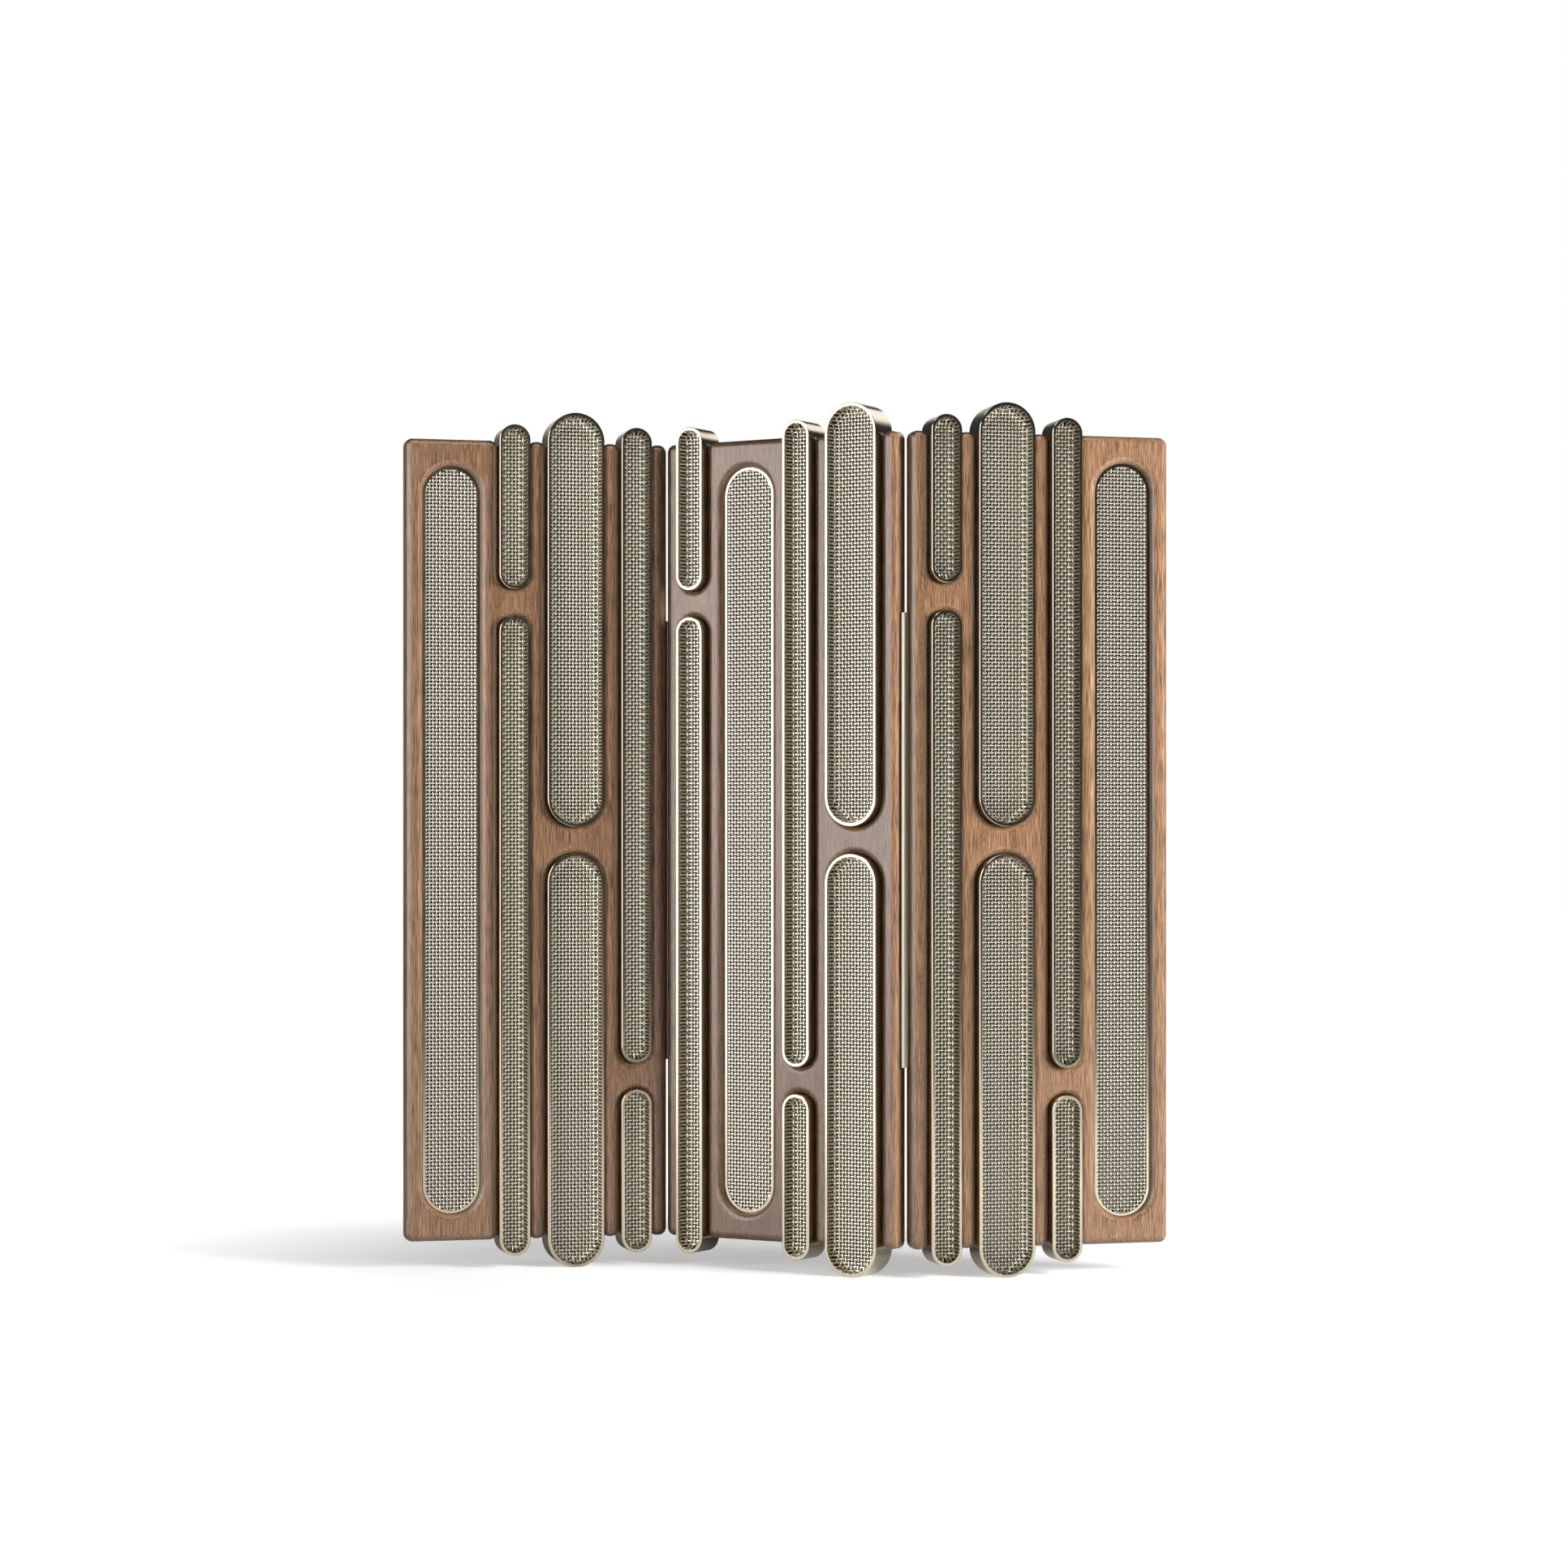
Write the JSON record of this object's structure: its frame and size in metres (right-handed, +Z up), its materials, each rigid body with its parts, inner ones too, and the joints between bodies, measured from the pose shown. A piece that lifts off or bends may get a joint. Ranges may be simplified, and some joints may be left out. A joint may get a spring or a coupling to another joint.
{
  "type": "folding screen",
  "caption": "Free-standing zigzag room divider of thick round-edged wooden panels with long round-ended metal trays of woven wire, joined by long barrel hinges.",
  "frame": {"origin": "on the floor, under the middle of the screen's outline as it stands", "axes": "+Z up; +X to the right seen from the front; the front faces -Y"},
  "size_m": [1.7114, 0.3664, 1.9292],
  "materials": {
    "walnut": "satin lacquer",
    "champagne_metal": "champagne anodised, satin",
    "woven_wire": "bright champagne wire",
    "hinge_bronze": "satin bronze",
    "screw_steel": "plain"
  },
  "bodies": {
    "centre": {"centre_hinge_screws": "screw_steel", "centre_lining_1_lower": "woven_wire", "centre_lining_1_upper": "woven_wire", "centre_lining_2_full": "woven_wire", "centre_lining_3_lower": "woven_wire", "centre_lining_3_upper": "woven_wire", "centre_lining_4_lower": "woven_wire", "centre_lining_4_upper": "woven_wire", "centre_panel": "walnut", "centre_tray_1_lower": "champagne_metal", "centre_tray_1_upper": "champagne_metal", "centre_tray_2_full": "champagne_metal", "centre_tray_3_lower": "champagne_metal", "centre_tray_3_upper": "champagne_metal", "centre_tray_4_lower": "champagne_metal", "centre_tray_4_upper": "champagne_metal", "centre_tray_screws": "screw_steel", "left_hinge_middle_leaf": "hinge_bronze", "left_hinge_pin": "hinge_bronze", "right_hinge_pin": "hinge_bronze", "right_hinge_split_leaf": "hinge_bronze"},
    "left": {"left_hinge_screws": "screw_steel", "left_hinge_split_leaf": "hinge_bronze", "left_lining_1_full": "woven_wire", "left_lining_2_lower": "woven_wire", "left_lining_2_upper": "woven_wire", "left_lining_3_lower": "woven_wire", "left_lining_3_upper": "woven_wire", "left_lining_4_lower": "woven_wire", "left_lining_4_upper": "woven_wire", "left_panel": "walnut", "left_tray_1_full": "champagne_metal", "left_tray_2_lower": "champagne_metal", "left_tray_2_upper": "champagne_metal", "left_tray_3_lower": "champagne_metal", "left_tray_3_upper": "champagne_metal", "left_tray_4_lower": "champagne_metal", "left_tray_4_upper": "champagne_metal", "left_tray_screws": "screw_steel"},
    "right": {"right_hinge_middle_leaf": "hinge_bronze", "right_hinge_screws": "screw_steel", "right_lining_1_lower": "woven_wire", "right_lining_1_upper": "woven_wire", "right_lining_2_lower": "woven_wire", "right_lining_2_upper": "woven_wire", "right_lining_3_lower": "woven_wire", "right_lining_3_upper": "woven_wire", "right_lining_4_full": "woven_wire", "right_panel": "walnut", "right_tray_1_lower": "champagne_metal", "right_tray_1_upper": "champagne_metal", "right_tray_2_lower": "champagne_metal", "right_tray_2_upper": "champagne_metal", "right_tray_3_lower": "champagne_metal", "right_tray_3_upper": "champagne_metal", "right_tray_4_full": "champagne_metal", "right_tray_screws": "screw_steel"}
  },
  "joints": [
    {"name": "left_fold", "type": "hinge", "parent": "centre", "child": "left", "pos_m": [-0.26419, 0.16287, 0.96], "axis": [0, 0, 1], "range_deg": [-102.6, 11.4]},
    {"name": "right_fold", "type": "hinge", "parent": "centre", "child": "right", "pos_m": [0.2657, -0.15301, 0.96], "axis": [0, 0, 1], "range_deg": [-103.2, 10.8]}
  ]
}
